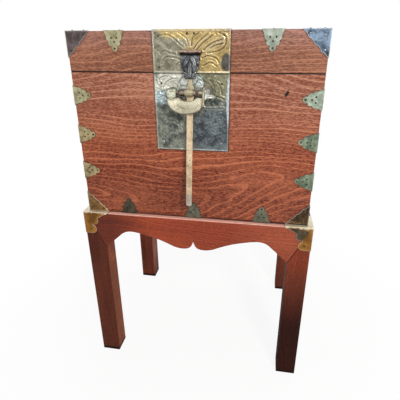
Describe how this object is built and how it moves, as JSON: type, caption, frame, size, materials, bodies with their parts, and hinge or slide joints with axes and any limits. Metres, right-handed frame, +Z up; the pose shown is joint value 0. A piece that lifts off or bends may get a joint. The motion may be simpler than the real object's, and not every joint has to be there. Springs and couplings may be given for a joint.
{
  "type": "chest on stand",
  "caption": "Brass-bound wooden chest with a hinged lid, hanging hasp and fish-shaped sliding padlock, lifting off a four-legged stand with shaped aprons.",
  "frame": {"origin": "on the floor, under the middle of the whole object's box", "axes": "+Z up, -Y to the front of the chest, +X to the right as seen from the front"},
  "size_m": [0.483, 0.3998, 0.7453],
  "materials": {
    "case_wood": "red-brown stained hardwood, satin",
    "lid_wood": "red-brown stained hardwood, satin",
    "stand_wood": "dark red-brown stained hardwood, satin",
    "inner_wood": "plain unstained wood",
    "plate_brass": "engraved sheet brass, aged",
    "leaf_brass": "sheet brass, pale green with age",
    "corner_brass": "sheet brass, darkened",
    "cap_brass": "sheet brass, golden",
    "nail_brass": "domed brass, dull",
    "hasp_brass": "bar brass, worn",
    "cast_bronze": "dark cast bronze",
    "padlock_brass": "cast brass, pale and worn",
    "hinge_brass": "brass, dull",
    "steel": "plain steel"
  },
  "bodies": {
    "stand": {"leg_front_left": "stand_wood", "leg_front_right": "stand_wood", "leg_back_left": "stand_wood", "leg_back_right": "stand_wood", "apron_front": "stand_wood", "apron_back": "stand_wood", "apron_left": "stand_wood", "apron_right": "stand_wood", "bearer_front": "inner_wood", "bearer_back": "inner_wood", "bearer_left": "inner_wood", "bearer_right": "inner_wood", "stand_corner_caps": "cap_brass", "stand_nails": "nail_brass"},
    "chest": {"case_front": "case_wood", "case_back": "case_wood", "case_left": "case_wood", "case_right": "case_wood", "case_floor": "inner_wood", "lower_lock_plate": "plate_brass", "staple_left": "hasp_brass", "staple_right": "hasp_brass", "case_leaf_mounts": "leaf_brass", "case_corner_mounts": "corner_brass", "case_nails": "nail_brass", "case_hinge_leaves": "hinge_brass", "case_hinge_screws": "nail_brass", "hinge_pins": "steel", "bail_posts": "hinge_brass", "bail_washers": "hinge_brass"},
    "lid": {"lid_front": "lid_wood", "lid_back": "lid_wood", "lid_left": "lid_wood", "lid_right": "lid_wood", "lid_top": "lid_wood", "upper_lock_plate": "plate_brass", "lid_leaf_mounts": "leaf_brass", "lid_corner_mounts": "corner_brass", "lid_nails": "nail_brass", "lid_hinge_leaves": "hinge_brass", "lid_hinge_screws": "nail_brass", "hasp_bracket": "cast_bronze", "hasp_pin": "steel"},
    "hasp": {"hasp_strap": "hasp_brass", "hasp_shield": "cast_bronze"},
    "padlock": {"padlock_belly": "padlock_brass", "padlock_head": "padlock_brass"},
    "shackle": {"shackle_rod": "padlock_brass", "padlock_tail": "padlock_brass", "padlock_springs": "steel"},
    "bail_l": {"bail_left": "hinge_brass"},
    "bail_r": {"bail_right": "hinge_brass"}
  },
  "joints": [
    {"name": "chest_lift", "type": "slide", "parent": "stand", "child": "chest", "axis": [0, 0, 1], "range_m": [0, 0.12]},
    {"name": "lid_open", "type": "hinge", "parent": "chest", "child": "lid", "pos_m": [0, 0.19143, 0.6745], "axis": [-1, 0, 0], "range_deg": [0, 110]},
    {"name": "hasp_swing", "type": "hinge", "parent": "lid", "child": "hasp", "pos_m": [0, -0.16087, 0.707], "axis": [-1, 0, 0], "range_deg": [0, 135]},
    {"name": "padlock_swing", "type": "hinge", "parent": "hasp", "child": "padlock", "pos_m": [0, -0.17858, 0.64336], "axis": [-1, 0, 0], "range_deg": [0, 150]},
    {"name": "shackle_slide", "type": "slide", "parent": "padlock", "child": "shackle", "axis": [1, 0, 0], "range_m": [0, 0.044]},
    {"name": "bail_left_swing", "type": "hinge", "parent": "chest", "child": "bail_l", "pos_m": [-0.2365, 0.01553, 0.58], "axis": [0, 1, 0], "range_deg": [-4, 150]},
    {"name": "bail_right_swing", "type": "hinge", "parent": "chest", "child": "bail_r", "pos_m": [0.2365, 0.01553, 0.58], "axis": [0, -1, 0], "range_deg": [-4, 150]}
  ]
}
